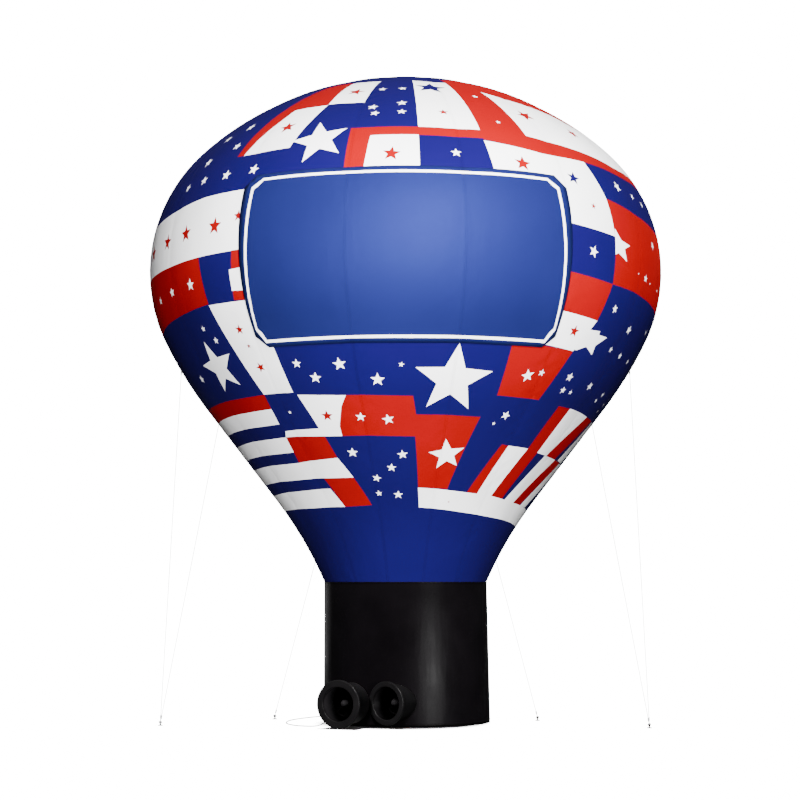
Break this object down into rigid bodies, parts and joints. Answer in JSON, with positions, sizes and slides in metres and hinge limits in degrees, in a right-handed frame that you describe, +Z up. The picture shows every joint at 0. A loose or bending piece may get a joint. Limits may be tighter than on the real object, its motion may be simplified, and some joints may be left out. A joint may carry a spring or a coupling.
{
  "type": "cold-air inflatable advertising balloon",
  "caption": "Ground-standing inflatable in the shape of a hot-air balloon, on a fabric drum with floor blowers and guy ropes.",
  "frame": {"origin": "centre of the base drum on the ground", "axes": "+Z up, the front with the banner panel towards -Y, +X to the right as the banner is read"},
  "size_m": [4.882, 4.8866, 6.0999],
  "materials": {
    "printed_fabric": "coated polyester with a printed pattern",
    "blue_fabric": "coated polyester, satin",
    "banner_fabric": "coated polyester, satin",
    "black_fabric": "coated polyester, satin black",
    "black_plastic": "moulded, satin",
    "fan_plastic": "moulded, satin",
    "motor_grey": "dark grey paint",
    "stake_steel": "black painted steel",
    "white_rope": "braided cord",
    "white_webbing": "webbing and coated ring",
    "black_rubber": "matt rubber"
  },
  "bodies": {
    "balloon": {"crown_cap": "printed_fabric", "envelope": "printed_fabric", "skirt": "blue_fabric", "banner": "banner_fabric", "base_wall": "black_fabric", "base_floor": "black_fabric", "left_blower_housing": "black_plastic", "left_stator": "black_plastic", "left_motor": "motor_grey", "right_blower_housing": "black_plastic", "right_stator": "black_plastic", "right_motor": "motor_grey", "stake_front_left": "stake_steel", "stake_front_right": "stake_steel", "stake_back_left": "stake_steel", "stake_back_right": "stake_steel", "guy_rope_rear_left": "white_rope", "tie_ring_rear_left": "white_webbing", "guy_rope_side_left": "white_rope", "tie_ring_side_left": "white_webbing", "guy_rope_back_left": "white_rope", "tie_ring_back_left": "white_webbing", "guy_rope_rear_right": "white_rope", "tie_ring_rear_right": "white_webbing", "guy_rope_side_right": "white_rope", "tie_ring_side_right": "white_webbing", "guy_rope_back_right": "white_rope", "tie_ring_back_right": "white_webbing", "lead_gland": "black_rubber", "power_lead": "black_rubber", "lead_coil": "black_rubber", "lead_tail": "black_rubber", "power_plug": "black_rubber"},
    "left_fan_rotor": {"left_fan": "fan_plastic"},
    "right_fan_rotor": {"right_fan": "fan_plastic"}
  },
  "joints": [
    {"name": "left_fan_spin", "type": "hinge", "parent": "balloon", "child": "left_fan_rotor", "pos_m": [-0.52872, -0.78861, 0.218], "axis": [-0.4384, -0.8988, 0], "continuous": true},
    {"name": "right_fan_spin", "type": "hinge", "parent": "balloon", "child": "right_fan_rotor", "pos_m": [-0.07087, -0.71489, 0.221], "axis": [-0.6157, -0.788, 0], "continuous": true}
  ]
}
